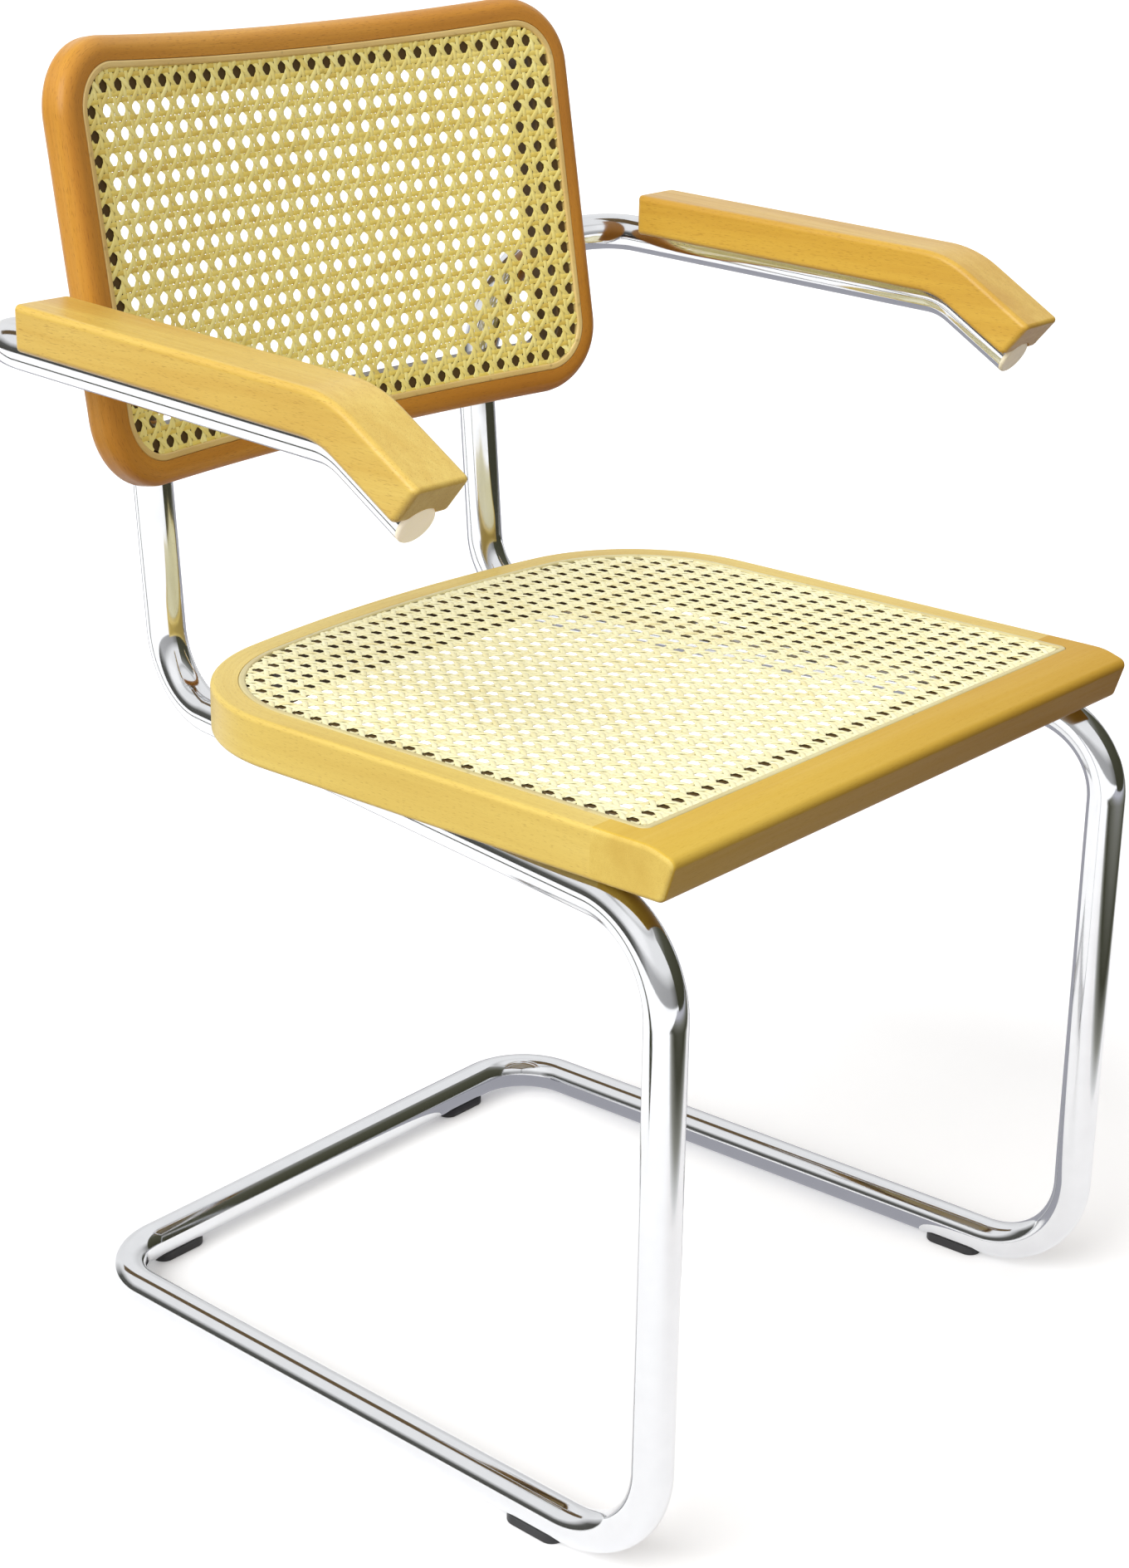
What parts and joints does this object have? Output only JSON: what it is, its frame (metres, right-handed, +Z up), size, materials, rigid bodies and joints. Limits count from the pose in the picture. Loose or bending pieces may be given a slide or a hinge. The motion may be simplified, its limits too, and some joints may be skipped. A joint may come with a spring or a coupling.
{
  "type": "cantilever armchair",
  "caption": "Cantilever armchair of bent chromed steel tube with wooden arm pads and a caned wooden seat and back.",
  "frame": {"origin": "on the floor, in the middle of the chair's width and depth", "axes": "+Z up, the sitter faces -Y, +X to the right seen from the front"},
  "size_m": [0.6146, 0.5295, 0.8332],
  "materials": {
    "chrome_tube": "polished chrome plate",
    "spigot_steel": "bare steel",
    "cap_plastic": "pale satin plastic",
    "arm_beech": "clear satin varnish",
    "seat_beech": "clear satin varnish",
    "back_beech": "clear satin varnish",
    "cane": "woven rattan cane",
    "spline_reed": "rattan reed",
    "glide_plastic": "black matt",
    "spacer_plastic": "black matt",
    "screw_steel": "bright plated"
  },
  "bodies": {
    "root": {"arm_pad_left": "arm_beech", "arm_pad_right": "arm_beech", "back_cane": "cane", "back_ring": "back_beech", "back_screws": "screw_steel", "back_spacers": "spacer_plastic", "back_spline": "spline_reed", "base_tube": "chrome_tube", "front_glide_left": "glide_plastic", "front_glide_right": "glide_plastic", "pad_screws": "screw_steel", "rear_glide_left": "glide_plastic", "rear_glide_right": "glide_plastic", "seat_bent_rail": "seat_beech", "seat_cane": "cane", "seat_front_rail": "seat_beech", "seat_screws": "screw_steel", "seat_spline": "spline_reed", "spigot_left": "spigot_steel", "spigot_right": "spigot_steel", "tip_cap_left": "cap_plastic", "tip_cap_right": "cap_plastic", "upper_tube_left": "chrome_tube", "upper_tube_right": "chrome_tube"}
  },
  "joints": []
}
